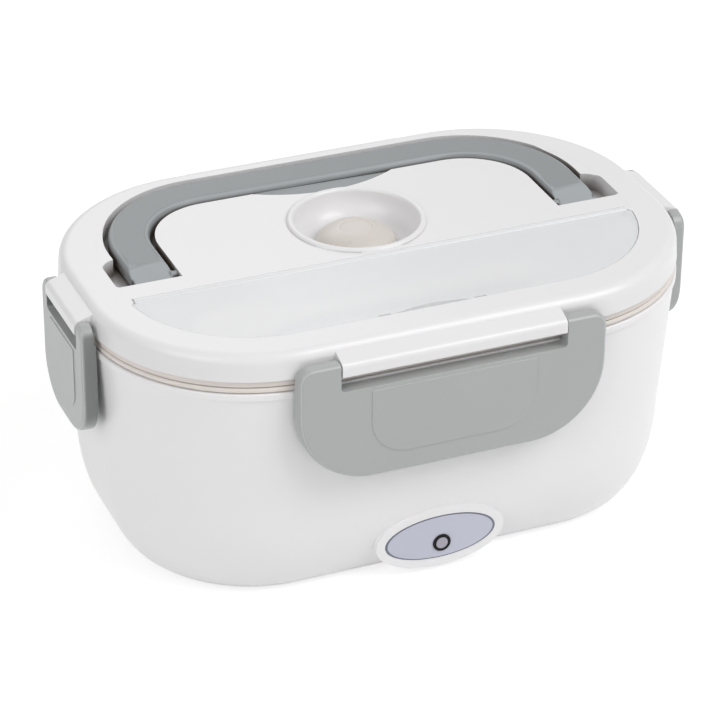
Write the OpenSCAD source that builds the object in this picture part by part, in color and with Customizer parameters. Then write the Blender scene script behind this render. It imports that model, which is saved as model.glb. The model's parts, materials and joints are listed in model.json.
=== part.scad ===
// Electric lunch box: heated base, lift-out food trays and a latched lid with a fold-down handle.
// Millimetres, +Z up, origin on the floor under the middle of the box; +X is the long side, -Y the front.

/* [Overall] */
// Length of the lid over its skirt
lid_l = 221.6; // [208:0.2:270]
// Width of the lid over its skirt
lid_w = 143.6; // [140:0.2:180]
// Corner radius of the lid seen from above
corner_r = 59.5; // [54:0.5:68]
// Height of the base rim above the floor
base_h = 88.5; // [78:0.5:120]

/* [Base shell] */
// How far the base rim sits inside the lid skirt
base_inset = 0.3; // [0.1:0.1:3]
// Inward draft of the base walls, as millimetres per millimetre of height
draft = 0.074; // [0.03:0.002:0.08]
// Height over which the lower edge of the shell is rounded
round_h = 35; // [24:1:40]
// How far the lower rounding pulls the wall in
round_w = 14; // [8:0.5:16]
// Wall of the outer shell
shell_t = 2; // [1.6:0.1:2.4]
// Height of the fine step under the base rim
rim_step_h = 2.4; // [1.5:0.1:4]
// How far the rim stands proud of the wall
rim_proud = 0.4; // [0.2:0.1:0.6]

/* [Bottom cover] */
// Height of the bottom of the cover above the floor
cover_z = 1.2; // [0.8:0.1:2]
// Thickness of the bottom cover
cover_t = 2; // [1.6:0.1:3]
// How far the cover edge is set in from the shell edge
cover_inset = 1.2; // [0.6:0.1:2]
// Diameter of a rubber foot
foot_d = 14; // [8:0.5:18]
// Depth of the pocket that holds a foot
foot_seat = 0.6; // [0.4:0.1:0.9]
// Distance of the screws and feet from the middle, along the length
post_x = 72; // [60:1:78]
// Distance of the screws from the middle, along the width
post_y = 33; // [26:1:36]
// Diameter of the screw posts
post_d = 8; // [7:0.5:9]
// Diameter of the screw shanks
screw_d = 2.9; // [2.5:0.1:3.5]
// Length of the screws under the head
screw_l = 12; // [8:1:16]

/* [Inner well and heater] */
// Air gap between the outer shell and the well
air_gap = 2.5; // [2:0.1:4]
// Wall of the inner well
well_t = 1.5; // [1.2:0.1:1.8]
// Height of the top of the well floor
well_floor_z = 27.5; // [26:0.5:34]
// Inside rounding at the bottom of the well
well_r = 10; // [6:0.5:14]
// Half length of the heating plate
plate_hx = 66; // [60:1:72]
// Half width of the heating plate
plate_hy = 38; // [34:1:40]
// Thickness of the heating plate
plate_t = 1.4; // [1:0.1:2]
// How far the plate overlaps the floor opening
plate_lap = 5; // [3:0.5:7]
// Length of one heating block
ptc_l = 38; // [30:1:40]
// Width of one heating block
ptc_w = 24; // [18:1:28]
// Thickness of one heating block
ptc_t = 6; // [5:0.5:7]
// Distance of the clamp studs from the middle
stud_x = 50; // [46:1:52]

/* [Trays] */
// Gap between the well and the main tray
tray_gap = 1; // [0.6:0.1:1.6]
// Wall of the trays
tray_t = 1.5; // [1.2:0.1:2]
// Inside rounding at the bottom of the main tray
tray_r = 12; // [8:1:18]
// Height of the main tray rim
tray_rim_h = 1.8; // [1.4:0.1:2.4]
// Half length of the side tray
side_hx = 35; // [33:1:40]
// Radius of the inner corners of the side tray
side_r = 16; // [14:1:20]
// Height of the side tray rim under the base rim
side_drop = 11.5; // [8:0.5:30]

/* [Lid] */
// Height of the gap between the base rim and the lid skirt
band_h = 4.6; // [4:0.1:6]
// Height of the lid skirt and its rounded top edge
lid_h = 10.1; // [9.5:0.1:14]
// Radius of the rounded top edge
edge_r = 4; // [2.5:0.1:4.5]
// Thickness of the lid skirt
skirt_t = 2; // [1.6:0.1:2.4]
// Thickness of the lid top
top_t = 2; // [1.8:0.1:2.4]
// Width of the raised band round the lid top
band_w = 13.4; // [12.5:0.1:15]
// Height of the raised band over the lid panel
band_rise = 0.5; // [0.3:0.1:1]
// Wall of the wells that hang under the lid top
pan_t = 1.2; // [1:0.1:1.4]

/* [Handle] */
// Half distance between the outer faces of the handle legs
handle_hx = 90; // [80:0.5:92]
// Distance of the back face of the handle from the middle of the lid
handle_y = 62.5; // [58:0.5:63]
// Width of the handle bar and legs
handle_w = 15.2; // [12:0.1:17]
// Thickness of the handle
handle_t = 7; // [6:0.1:7.4]
// Outer corner radius of the handle
handle_r = 42; // [34:1:46]
// How far the handle top stands over the lid panel
handle_proud = 1.1; // [0.6:0.1:1.6]
// Running gap round the handle in its groove
handle_gap = 1.8; // [1.2:0.1:2.2]
// Distance of the pivot from the middle of the lid
pivot_y = 1; // [0:0.5:4]
// Diameter of the pivot pins
pivot_d = 3.6; // [3:0.1:4]
// Length of a pivot pin in the lid
pivot_l = 2.8; // [2:0.1:3.2]
// Half width of the finger bulge
grip_hx = 26; // [20:1:30]
// How far the finger bulge stands in from the bar
grip_d = 7.5; // [5:0.5:8]

/* [Cutlery compartment] */
// Distance of the cover edge from the lid edge
cut_inset = 14.4; // [14.2:0.1:16]
// Distance of the cover hinge in front of the middle of the lid
hinge_y = 15.8; // [15.6:0.1:18]
// Thickness of the cover
lens_t = 1.8; // [1.4:0.1:2]
// Radius of the hinge bead along the back of the cover
bead_r = 1.8; // [1.6:0.1:2]
// Width of the ledge that the cover rests on
ledge_w = 2.4; // [2:0.1:3]
// Height of the compartment floor under the lid panel
cut_depth = 11.4; // [9:0.1:12]

/* [Vent] */
// Distance of the vent behind the middle of the lid
vent_y = 12.2; // [11:0.1:14]
// Radius of the raised ring round the vent bowl
vent_r = 24.2; // [20:0.1:24.5]
// Depth of the bowl under the lid panel
vent_depth = 9.6; // [8:0.1:11]
// Radius of the silicone plug
plug_r = 13; // [10:0.5:14]
// Height of the silicone plug
plug_h = 7; // [5:0.5:7.5]

/* [Latches] */
// How far a latch face stands out from the lid skirt
latch_out = 6; // [5:0.1:8]
// Thickness of a latch face
latch_t = 2.2; // [1.8:0.1:2.6]
// Height of the lower edge of a latch under the base rim
latch_drop = 36.5; // [30:0.5:40]
// Half length of the front and back tabs
tab_long = 42; // [34:1:42]
// Half length of the side tabs
tab_short = 16.2; // [12:0.1:18]
// Width of the ears on the front and back latches
ear_long = 15.2; // [10:0.1:16]
// Width of the ears on the side latches
ear_short = 6.2; // [5:0.1:8]
// Radius of the lower corners of the front and back latches
foot_r_long = 28; // [16:1:30]
// Radius of the lower corners of the side latches
foot_r_short = 17; // [12:1:18]
// Diameter of the latch pins
pin_d = 3; // [2.4:0.1:3.2]
// Height of the latch pins over the lower edge of the lid skirt
pin_up = 3.5; // [3.2:0.1:3.8]
// Distance of the latch pins out from the lid skirt
pin_out = 3.4; // [3.2:0.1:3.6]

/* [Power] */
// Half length of the oval badge
badge_a = 21.2; // [16:0.1:24]
// Half height of the oval badge
badge_b = 8.6; // [6:0.1:9]
// Height of the middle of the badge
badge_z = 14.2; // [13:0.1:16]
// Side step of the indicator from the middle of the badge
led_x = 0.5; // [-3:0.5:3]
// Drop of the indicator from the middle of the badge
led_drop = 2.6; // [0:0.1:3]
// Diameter of the indicator lens
led_d = 4.4; // [3:0.1:5]
// Height of the middle of the power inlet
inlet_z = 13.5; // [12:0.5:14]
// Distance between the inlet pins
inlet_pitch = 8.6; // [8:0.1:9]

/* [Hidden] */
$fn = 64;
eps = 0.01;

// Clearances
fit = 0.05;          // sliding fit of a pin in its bore
seat = 0.3;          // gap between pieces that rest on each other
run = 0.4;           // side gap between pieces that move past each other

// Heights of the stack
hx = lid_l / 2;
hy = lid_w / 2;
shell_z = cover_z + cover_t;
well_under = well_floor_z - well_t;
tray_rim_z = base_h + seat;
tray_top = tray_rim_z + tray_rim_h;
gasket_h = 2.3;
gasket_z = tray_top + seat;
gasket_top = gasket_z + gasket_h;
skirt_z = base_h + band_h;
flange_t = 1.4;
panel_top = skirt_z + lid_h - band_rise;
top_z = skirt_z + lid_h;
plate_top = well_floor_z + plate_t;
tray_floor = plate_top + seat;
side_floor = tray_floor + tray_t + seat;

// Offsets of the walls from the lid outline, measured at the base rim
well_d = -(base_inset + shell_t + air_gap);
tray_d = well_d - well_t - tray_gap;
mouth_d = tray_d - tray_t;
inner_d = mouth_d - 0.8;
panel_t = 1.4;
dish_z = base_h - 1;

// ---- Outlines and sweeps ----

// Rounded rectangle from x0 to x1 and +-h, with one radius at each end
module round_plan(x0, x1, h, rl, rr) {
    translate([x0 + rl, -h]) square([x1 - rr - x0 - rl, 2 * h]);
    translate([x0, rl - h]) square([rl, 2 * (h - rl)]);
    translate([x1 - rr, rr - h]) square([rr, 2 * (h - rr)]);
    for (s = [-1, 1]) {
        translate([x0 + rl, s * (h - rl)]) circle(rl);
        translate([x1 - rr, s * (h - rr)]) circle(rr);
    }
}

// Lid outline grown by d
module plan(d) {
    round_plan(-hx - d, hx + d, hy + d, corner_r + d, corner_r + d);
}

// Flat plate on the lid outline grown by d
module plate(d, z0, z1) {
    translate([0, 0, z0]) linear_extrude(z1 - z0) plan(d);
}

// Sweeps a profile round a rounded rectangle; profile x is the distance out from it
module sweep(x0, x1, h, rl, rr) {
    translate([x1, h - rr, 0]) rotate([90, 0, 0]) linear_extrude(2 * (h - rr)) children();
    translate([x0, rl - h, 0]) rotate([90, 0, 180]) linear_extrude(2 * (h - rl)) children();
    translate([x0 + rl, h, 0]) rotate([90, 0, 90]) linear_extrude(x1 - rr - x0 - rl) children();
    translate([x1 - rr, -h, 0]) rotate([90, 0, -90]) linear_extrude(x1 - rr - x0 - rl) children();
    corner(x1 - rr, h - rr, 0, rr) children();
    corner(x0 + rl, h - rl, 90, rl) children();
    corner(x0 + rl, rl - h, 180, rl) children();
    corner(x1 - rr, rr - h, 270, rr) children();
}

module corner(x, y, turn, r) {
    translate([x, y, 0]) rotate([0, 0, turn]) rotate_extrude(angle = 90) translate([r, 0]) children();
}

// Sweeps a profile round the lid outline
module lid_ring() {
    sweep(-hx, hx, hy, corner_r, corner_r) children();
}

// Arch +-w wide from y0 to y1, with its back corners rounded by r
module arch(w, y0, y1, r) {
    translate([-w, y0]) square([2 * w, y1 - r - y0]);
    translate([r - w, y0]) square([2 * (w - r), y1 - y0]);
    for (s = [-1, 1]) intersection() {
        translate([s * (w - r), y1 - r]) circle(r);
        translate([-w, y1 - r]) square([2 * w, r]);
    }
}

// Slot shape: two half circles of radius r whose outer ends are +-w from the middle
module slot(w, r) {
    square([2 * (w - r), 2 * r], center = true);
    for (s = [-1, 1]) translate([s * (w - r), 0]) circle(r);
}

function ellipse(a, b, n) = [for (i = [0:n - 1]) [a * cos(360 * i / n), b * sin(360 * i / n)]];

// Points of an arc about (x, y) from angle a0 to a1
function arc(x, y, r, a0, a1, n) = [for (i = [0:n]) [x + r * cos(a0 + (a1 - a0) * i / n),
    y + r * sin(a0 + (a1 - a0) * i / n)]];

// Places something built at the front, lid edge at y = 0, against each side of the box
module at_front() { translate([0, -hy, 0]) children(); }
module at_back() { rotate([0, 0, 180]) translate([0, -hy, 0]) children(); }
module at_left() { rotate([0, 0, -90]) translate([0, -hx, 0]) children(); }
module at_right() { rotate([0, 0, 90]) translate([0, -hx, 0]) children(); }

// ---- Base ----

// Offset of the outer wall of the base at height z
function wall_d(z) = -base_inset - draft * (base_h - max(z, round_h))
    - round_w * (1 - sqrt(1 - pow(max(round_h - z, 0) / round_h, 2)));

// Angle round the lower edge at which the wall reaches height z
function round_angle(z) = asin(1 - z / round_h);

// Points up the lower rounding of the outer wall from z0, moved in by t
function wall_points(z0, t) = [for (i = [0:9])
    let (a = round_angle(z0) * (1 - i / 9), z = round_h * (1 - sin(a))) [wall_d(z) - t, z]];

function reversed(p) = [for (i = [len(p) - 1:-1:0]) p[i]];

catch_top = base_h - 6.3;
catch_h = 2.2;
catch_out = 2.2;
ledge_z = base_h - well_t - 0.2;
shelf_w = 1.4;

module shell_profile() {
    step_z = base_h - rim_step_h;
    rim = wall_d(base_h) + rim_proud;
    inside = wall_d(base_h) - shell_t;
    shelf = inside - shelf_w;
    polygon(concat(
        wall_points(shell_z, 0),
        [[wall_d(step_z), step_z], [rim, step_z], [rim, base_h - 0.3], [rim - 0.3, base_h], [inside, base_h],
        [inside, ledge_z], [shelf, ledge_z], [shelf, ledge_z - shelf_w],
        [wall_d(ledge_z) - shell_t, ledge_z - 3]],
        reversed(wall_points(shell_z, shell_t))));
}

// Catch that a latch hooks under, for a tab of half length w
module catch(w) {
    x = w - 4;
    translate([-x, -catch_out, catch_top - catch_h]) cube([2 * x, catch_out + base_inset + 1.4, catch_h]);
}

boss_rim = 3.6;
boss_face = wall_d(round_h);
boss_back = 11;

// Prism along the depth, from its face back by l
module facing(face, l) {
    translate([0, face, 0]) rotate([90, 0, 0]) translate([0, 0, -l]) linear_extrude(l) children();
}

module badge_plan(grow) {
    translate([0, badge_z]) polygon(ellipse(badge_a + grow, badge_b + grow, 48));
}

module inlet_plan(w, r) {
    translate([0, inlet_z]) slot(w, r);
}

badge_t = 0.8;
badge_sunk = 0.7;
badge_face = hy + boss_face - badge_sunk + badge_t;
inlet_body_w = 11.5;
inlet_body_r = 6.6;
inlet_flange_w = 14.5;
inlet_flange_r = 8.4;
inlet_flange_t = 2;
inlet_boss_w = inlet_flange_w + 3;
inlet_boss_r = inlet_flange_r + 1.4;
inlet_face = hy + boss_face;
board_y = -(badge_face - 8);
peg_x = 9;

module outer_shell() color("white") {
    front = hy + boss_face;
    difference() {
        union() {
            lid_ring() shell_profile();
            at_front() catch(tab_long);
            at_back() catch(tab_long);
            at_left() catch(tab_short);
            at_right() catch(tab_short);
            difference() {
                union() {
                    facing(-front, boss_back) badge_plan(boss_rim);
                    rotate([0, 0, 180]) facing(-front, boss_back) inlet_plan(inlet_boss_w, inlet_boss_r);
                }
                plate(wall_d(shell_z) - cover_inset + run, 0, shell_z);
            }
        }
        facing(-front + shell_t, boss_back) badge_plan(boss_rim - shell_t);
        facing(-front - eps, badge_sunk + eps) badge_plan(0.15);
        translate([led_x, -front - eps, badge_z - led_drop]) rotate([-90, 0, 0])
            cylinder(d = led_d + 2 * fit, h = 5);
        rotate([0, 0, 180]) {
            facing(-front - eps, inlet_flange_t + eps) inlet_plan(inlet_flange_w + fit, inlet_flange_r + fit);
            facing(-front, boss_back + 8) inlet_plan(inlet_body_w + 0.2, inlet_body_r + 0.2);
        }
    }
    for (s = [-1, 1]) translate([led_x + s * peg_x, board_y, badge_z - led_drop]) rotate([90, 0, 0])
        cylinder(d = 3, h = front - shell_t + board_y + eps);
}

// Offset of the outside of the well at height z
function well_out(z) = well_d - draft * (base_h - z);

module well_profile() {
    top = base_h;
    knee = well_under + well_r;
    out_knee = well_out(knee);
    polygon(concat(
        [[out_knee - well_r - 4, well_under]],
        arc(out_knee - well_r, knee, well_r, -90, 0, 8),
        [[well_out(top - well_t), top - well_t], [wall_d(top) - shell_t - 0.15, top - well_t],
        [wall_d(top) - shell_t - 0.15, top], [well_out(top) - well_t, top]],
        arc(out_knee - well_r, knee, well_r - well_t, 0, -90, 8),
        [[out_knee - well_r - 4, well_under + well_t]]));
}

// Positions of the screws and of the feet
module at_posts() {
    for (x = [-post_x, post_x], y = [-post_y, post_y]) translate([x, y, 0]) children();
}
module at_feet() {
    for (x = [-post_x, post_x], y = [-1, 1]) translate([x - sign(x) * 18, y * (post_y + 6), 0]) children();
}

open_x = plate_hx - plate_lap;
open_y = plate_hy - plate_lap;
plate_r = 22;

module inner_well() color("gainsboro") {
    lid_ring() well_profile();
    difference() {
        plate(well_out(well_under + well_r) - well_r - 2, well_under, well_floor_z);
        translate([0, 0, well_under - 1]) linear_extrude(well_t + 2)
            round_plan(-open_x, open_x, open_y, plate_r - plate_lap, plate_r - plate_lap);
    }
    difference() {
        at_posts() translate([0, 0, shell_z]) cylinder(d = post_d, h = well_under - shell_z + eps);
        at_posts() translate([0, 0, shell_z - 1]) cylinder(d = screw_d + 2 * fit, h = screw_l + 4);
    }
}

// ---- Heater ----

stud_d = 4;
stud_l = 10.5;
clamp_t = 1.5;
clamp_w = 16;
clamp_z = well_floor_z - ptc_t - clamp_t;
nut_h = 3.2;

module heating_plate() color("silver") {
    translate([0, 0, well_floor_z]) linear_extrude(plate_t)
        round_plan(-plate_hx, plate_hx, plate_hy, plate_r, plate_r);
    for (s = [-1, 1]) translate([s * stud_x, 0, well_floor_z - stud_l]) cylinder(d = stud_d, h = stud_l);
}

module ptc_heater() color("dimgray") {
    for (s = [-1, 1]) translate([s * (ptc_l / 2 + 2) - ptc_l / 2, -ptc_w / 2, well_floor_z - ptc_t])
        cube([ptc_l, ptc_w, ptc_t]);
}

module heater_clamp() color("lightsteelblue") {
    difference() {
        translate([0, 0, clamp_z]) linear_extrude(clamp_t) slot(stud_x + clamp_w / 2, clamp_w / 2);
        for (s = [-1, 1]) translate([s * stud_x, 0, clamp_z - 1])
            cylinder(d = stud_d + 2 * fit, h = clamp_t + 2);
    }
    for (s = [-1, 1]) translate([12 - stud_x, s * (clamp_w / 2 - 0.8) - 0.8, clamp_z - 1.6])
        cube([2 * (stud_x - 12), 1.6, 1.6 + eps]);
}

module clamp_nuts() color("silver") {
    for (s = [-1, 1]) translate([s * stud_x, 0, clamp_z - nut_h]) difference() {
        cylinder(d = 8, h = nut_h, $fn = 6);
        translate([0, 0, -1]) cylinder(d = stud_d + 2 * fit, h = nut_h + 2);
    }
}

sensor_y = 23;
sensor_x = 22;

module thermostat() color("saddlebrown") {
    translate([0, sensor_y, well_floor_z - 2]) cylinder(d = 16, h = 2);
    translate([0, sensor_y, well_floor_z - 8]) cylinder(d = 13, h = 6 + eps);
    for (s = [-1, 1]) translate([s * 4 - 0.4, sensor_y - 2.5, well_floor_z - 13]) cube([0.8, 5, 5 + eps]);
}

module thermal_fuse() color("tan") {
    translate([-7, -sensor_y, well_floor_z - 2]) rotate([0, 90, 0]) cylinder(d = 4, h = 14);
    for (s = [-1, 1]) translate([s * 7, -sensor_y, well_floor_z - 2]) rotate([0, s * 90, 0])
        cylinder(d = 1, h = 5);
}

wire_d = 1.8;

// Point at t along a Bezier curve with end points a, d and control points b, c
function bezier(a, b, c, d, t) = pow(1 - t, 3) * a + 3 * t * pow(1 - t, 2) * b + 3 * t * t * (1 - t) * c
    + t * t * t * d;
function unit(v) = v / norm(v);

// Wire from a, leaving along u, to b, arriving along v
module wire(a, u, b, v) {
    rings = 10;
    sides = 8;
    path = [for (i = [0:rings]) bezier(a, a + u, b - v, b, i / rings)];
    points = [for (i = [0:rings])
        let (t = unit(path[min(i + 1, rings)] - path[max(i - 1, 0)]), m = unit(cross(t, [0.3, 0.2, 1])),
            n = cross(t, m))
        for (k = [0:sides - 1]) path[i] + wire_d / 2 * (m * cos(360 * k / sides) + n * sin(360 * k / sides))];
    polyhedron(points, concat(
        [[for (k = [0:sides - 1]) k]],
        [for (i = [0:rings - 1], k = [0:sides - 1]) let (l = (k + 1) % sides)
            [i * sides + k, (i + 1) * sides + k, (i + 1) * sides + l, i * sides + l]],
        [[for (k = [sides - 1:-1:0]) rings * sides + k]]));
}

module wiring() color("firebrick") {
    base = shell_z + 4;
    lead = well_floor_z - 2;
    ptc_z = well_floor_z - ptc_t / 2;
    under = well_floor_z - 14.2;
    tag = inlet_face - 2.5 - inlet_l - 0.7;
    wire([-inlet_pitch / 2, tag, inlet_z], [0, -8, 0], [-4, sensor_y, under], [0, -4, 4]);
    wire([inlet_pitch / 2, tag - 0.6, inlet_z], [40, -24, -10], [12.4, -sensor_y, lead], [-60, -10, 20]);
    wire([4, sensor_y, under], [14, 0, -9], [14, ptc_w / 2 + 1.2, ptc_z], [0, -9, 6]);
    wire([-12.4, -sensor_y, lead], [-8, 0, 0], [-24, -ptc_w / 2 - 1.2, ptc_z], [0, 6, 0]);
    for (s = [-1, 1]) wire([led_x + 8 + 2.5 * s, board_y + 2.8, badge_z - led_drop], [0, 12, -4],
        [34 + 4 * s, -ptc_w / 2 - 1.2, ptc_z], [0, 10, 0]);
}

// ---- Power inlet and indicator ----

inlet_l = 20;
socket_w = 8.7;
socket_r = 4.9;
socket_l = 15;
inlet_pin_d = 2.4;

module power_inlet() color("#222222") rotate([0, 0, 180]) {
    difference() {
        union() {
            facing(-inlet_face, inlet_flange_t) inlet_plan(inlet_flange_w, inlet_flange_r);
            facing(-inlet_face, inlet_l) inlet_plan(inlet_body_w, inlet_body_r);
        }
        facing(-inlet_face - 1, socket_l + 1) inlet_plan(socket_w, socket_r);
        for (s = [-1, 1]) translate([s * inlet_pitch / 2, -inlet_face, inlet_z]) rotate([-90, 0, 0])
            cylinder(d = inlet_pin_d + 2 * fit, h = inlet_l + 1);
    }
}

module inlet_pins() color("silver") rotate([0, 0, 180]) {
    for (s = [-1, 1]) translate([s * inlet_pitch / 2, 2.5 - inlet_face, inlet_z]) rotate([-90, 0, 0])
        cylinder(d = inlet_pin_d, h = inlet_l + 0.6);
}

module badge_plate() color("#bbbece") {
    difference() {
        facing(-badge_face, badge_t) badge_plan(0);
        translate([led_x, -badge_face - 1, badge_z - led_drop]) rotate([-90, 0, 0])
            cylinder(d = led_d + 2 * fit, h = badge_t + 3);
    }
}

module led_bezel() color("black") {
    translate([led_x, -badge_face, badge_z - led_drop]) rotate([90, 0, 0]) difference() {
        cylinder(d = led_d + 2.4, h = 0.4);
        translate([0, 0, -1]) cylinder(d = led_d + 2 * fit, h = 2);
    }
}

module led_lens() color("lightgray") {
    translate([led_x, -badge_face - 0.5, badge_z - led_drop]) rotate([-90, 0, 0])
        cylinder(d = led_d, h = 3.2);
}

module led_lamp() color("gold") {
    translate([led_x, board_y, badge_z - led_drop]) rotate([90, 0, 0]) {
        cylinder(d = 3.8, h = 0.8);
        cylinder(d = 3, h = 3.2);
        translate([0, 0, 3.2]) sphere(d = 3);
    }
}

module led_board() color("seagreen") {
    translate([led_x, board_y, badge_z - led_drop]) rotate([90, 0, 0]) translate([0, 0, -1.6]) difference() {
        linear_extrude(1.6) square([26, 9], center = true);
        for (s = [-1, 1]) translate([s * (peg_x + 3), 0, -1]) cylinder(d = 1.2, h = 4, $fn = 24);
    }
}

// ---- Bottom ----

head_d = 5.6;
head_h = 1.2;

module bottom_cover() color("whitesmoke") {
    d = wall_d(shell_z) - cover_inset;
    rib = wall_d(shell_z) - shell_t - run;
    difference() {
        union() {
            lid_ring() polygon([[d - 6, cover_z], [d - 1, cover_z], [d, cover_z + 1], [d, shell_z],
                [rib, shell_z],
                [rib, shell_z + 1.6], [rib - 1.4, shell_z + 1.6], [rib - 1.4, shell_z], [d - 6, shell_z]]);
            plate(d - 4, cover_z, shell_z);
        }
        at_posts() translate([0, 0, cover_z - 1]) {
            cylinder(d = screw_d + 0.4, h = cover_t + 2);
            cylinder(d = head_d + 0.4, h = 1 + head_h);
        }
        at_feet() translate([0, 0, cover_z - 1]) cylinder(d = foot_d, h = 1 + foot_seat);
        rotate([0, 0, 180]) facing(-inlet_face, boss_back + run)
            inlet_plan(inlet_boss_w + run, inlet_boss_r + run);
        facing(-inlet_face, boss_back + run) badge_plan(boss_rim + run);
    }
}

module cover_screws() color("silver") {
    at_posts() translate([0, 0, cover_z + 0.1]) {
        difference() {
            cylinder(d = head_d, h = head_h - 0.1);
            for (a = [0, 90]) rotate([0, 0, a]) translate([-1.7, -0.35, -1]) cube([3.4, 0.7, 1.6]);
        }
        translate([0, 0, head_h - 0.1 - eps]) cylinder(d = screw_d, h = screw_l);
    }
}

module feet() color("dimgray") {
    at_feet() cylinder(d = foot_d - 0.2, h = cover_z + foot_seat);
}

// ---- Trays ----

module tray_profile() {
    knee = tray_floor + tray_r;
    k = tray_d - draft * (base_h - knee);
    lip = -base_inset - 0.3;
    polygon(concat(
        [[k - tray_r - 4, tray_floor]],
        arc(k - tray_r, knee, tray_r, -90, 0, 8),
        [[tray_d, base_h], [tray_d, tray_top - 1.4], [lip - 1.6, tray_top - 1.4], [lip - 1.6, tray_rim_z]],
        arc(lip - 0.5, tray_rim_z + 0.5, 0.5, -90, 0, 3),
        arc(lip - 0.7, tray_top - 0.7, 0.7, 0, 90, 4),
        [[mouth_d + 0.6, tray_top], [mouth_d, tray_top - 0.6], [mouth_d, base_h]],
        arc(k - tray_r, knee, tray_r - tray_t, 0, -90, 8),
        [[k - tray_r - 4, tray_floor + tray_t]]));
}

module main_tray() color("antiquewhite") {
    lid_ring() tray_profile();
    plate(tray_d - draft * (base_h - tray_floor - tray_r) - tray_r - 2, tray_floor, tray_floor + tray_t);
}

// Offset of the inside of the main tray where its straight wall ends
tray_in = mouth_d - draft * (base_h - tray_floor - tray_r);
side_top = base_h - side_drop;
side_end_gap = 2.6;
side_flank_gap = 9;
side_x1 = hx + tray_in - side_end_gap;
side_x0 = side_x1 - 2 * side_hx;
side_hy = hy + tray_in - side_flank_gap;
side_outer_r = corner_r + tray_in - side_flank_gap;
side_pull = 2.2;        // lean of the side tray wall
side_knee = tray_r - 2;
side_in = side_pull + side_knee;

module side_profile() {
    knee = side_floor + side_knee;
    rim_z = side_top - 3;
    polygon(concat(
        [[-side_in - 1, side_floor]],
        arc(-side_in, knee, side_knee, -90, 0, 8),
        [[-0.2, side_top - 1.4], [0.8, side_top - 1.4], [0.8, rim_z], [2, rim_z]],
        arc(1.2, side_top - 0.8, 0.8, 0, 90, 3),
        [[-0.2 - tray_t, side_top]],
        arc(-side_in, knee, side_knee - tray_t, 0, -90, 8),
        [[-side_in - 1, side_floor + tray_t]]));
}

module side_tray() color("linen") {
    in = side_in + 0.5;
    sweep(side_x0, side_x1, side_hy, side_r, side_outer_r) side_profile();
    translate([0, 0, side_floor]) linear_extrude(tray_t)
        round_plan(side_x0 + in, side_x1 - in, side_hy - in, side_r - in, side_outer_r - in);
}

// ---- Lid ----

handle_top = panel_top + handle_proud;
handle_z = handle_top - handle_t;
groove_z = handle_z - 0.4;
pivot_z = handle_z + handle_t / 2;
groove_w = handle_hx + handle_gap;
groove_y = handle_y + handle_gap;
groove_in = handle_hx - handle_w - handle_gap;
groove_in_y = handle_y - handle_w - handle_gap;
groove_front = pivot_y - handle_t / 2 - 2;
pocket_x = handle_hx + 7.5;
pocket_r = 7;
hub_w = 4;
pocket_y = pivot_y + 8;

// Bulge in front of the line at y: a circle through (+-half, y) and deep in front of it, grown by g
module scallop(y, half, deep, g) {
    r = (half * half + deep * deep) / (2 * deep);
    intersection() {
        translate([0, y - deep + r]) circle(r + g, $fn = 128);
        translate([-2 * half, y - deep - g - 1]) square([4 * half, deep + g + 4]);
    }
}

// Plan of the handle groove, grown by g
module groove_plan(g) {
    difference() {
        arch(groove_w + g, groove_front - g, groove_y + g, handle_r + handle_gap + g);
        arch(groove_in - g, groove_front - g - 1, groove_in_y - g, handle_r - handle_w - handle_gap - g);
    }
    w = pocket_x - groove_w + 1;
    for (s = [-1, 1]) {
        translate([s * (pocket_x - w / 2) - w / 2 - g, groove_front - g])
            square([w + 2 * g, pocket_y - groove_front + g]);
        translate([s * (pocket_x - pocket_r), pocket_y]) circle(pocket_r + g);
    }
    scallop(groove_in_y, grip_hx + handle_gap, grip_d, g);
}

// Plan of the cutlery compartment: the lid outline set in by d, cut off y behind the front half
module d_plan(d, y, r) {
    w = hx - d - 0.5;
    intersection() {
        plan(-d);
        translate([-hx, -hy]) square([2 * hx, hy - y - r]);
    }
    translate([r - w, -y - r - 1]) square([2 * (w - r), r + 1]);
    for (s = [-1, 1]) translate([s * (w - r), -y - r]) circle(r);
}

bead_z = panel_top - 1.1;
bead_x = hx - cut_inset - 1.6;
hinge_pin_d = 1.6;
hinge_pin_l = 2.6;
lens_z = panel_top - lens_t;
cut_floor = panel_top - cut_depth;
cut_in = cut_inset + ledge_w;
bowl_z = panel_top - vent_depth;
bowl_r = plug_r + 3;
ring_h = 1.3;
stem_r = 3;
spoon_lift = 3.2;

// Quarter curve rising h from [r0, z] to the radius r1
function bowl(r0, r1, z, h, n) = [for (i = [0:n])
    [r0 + (r1 - r0) * sin(90 * i / n), z + h * (1 - cos(90 * i / n))]];

module lid_profile() {
    under = panel_top - top_t;
    side = -0.4;
    polygon(concat(
        [[-skirt_t, skirt_z], [-0.4, skirt_z], [0, skirt_z + 0.4]],
        arc(side - edge_r, top_z - edge_r, edge_r, 0, 90, 10),
        [[-band_w, top_z], [-band_w - 1.2, panel_top], [-band_w - 4, panel_top], [-band_w - 4, under],
        [-skirt_t - 2.6, under], [-skirt_t - 0.4, under - 2.2]]));
}

tab_r = 2.3;

// Cross section of a tab, x out from the lid edge
module tab_profile() {
    face = latch_out + 0.2;
    polygon(concat(
        [[-1, skirt_z + 0.6], [face - 0.5, skirt_z + 0.6], [face, skirt_z + 1.1]],
        arc(face - tab_r, skirt_z + 3.8, tab_r, 0, 75, 8),
        [[-3.4, top_z - 1.4], [-3.4, top_z - 3]]));
}

module tab(w) {
    difference() {
        translate([w, 0, 0]) rotate([90, 0, -90]) linear_extrude(2 * w) tab_profile();
        for (s = [-1, 1]) translate([s * (w - 5), -pin_out, skirt_z + pin_up]) rotate([0, s * 90, 0])
            cylinder(d = pin_d + 2 * fit, h = 6);
    }
}

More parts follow.
